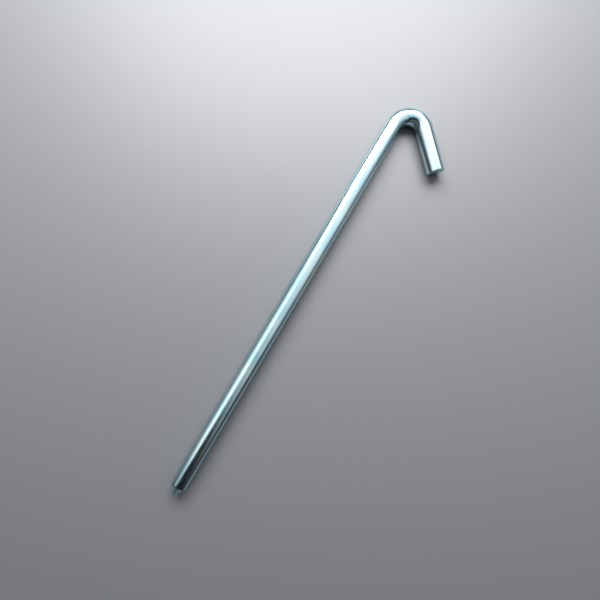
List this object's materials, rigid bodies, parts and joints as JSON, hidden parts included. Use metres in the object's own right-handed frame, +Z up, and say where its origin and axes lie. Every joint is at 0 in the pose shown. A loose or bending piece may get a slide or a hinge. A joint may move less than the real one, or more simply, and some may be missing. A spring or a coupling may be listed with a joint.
{
  "type": "tent stake",
  "caption": "Round steel bar tent stake with a turned point and one end bent round into an open hook that holds a guy line.",
  "frame": {"origin": "centre of the lowest face of the bounding box, as the stake lies flat", "axes": "+Y along the shank from the point to the hook, +X the side the hook opens on, +Z up from the surface it lies on"},
  "size_m": [0.0416, 0.254, 0.0095],
  "materials": {
    "zinc_plated_steel": "bright zinc plate with a clear blue passivate over cold-drawn steel"
  },
  "bodies": {
    "root": {"stake": "zinc_plated_steel"}
  },
  "joints": []
}
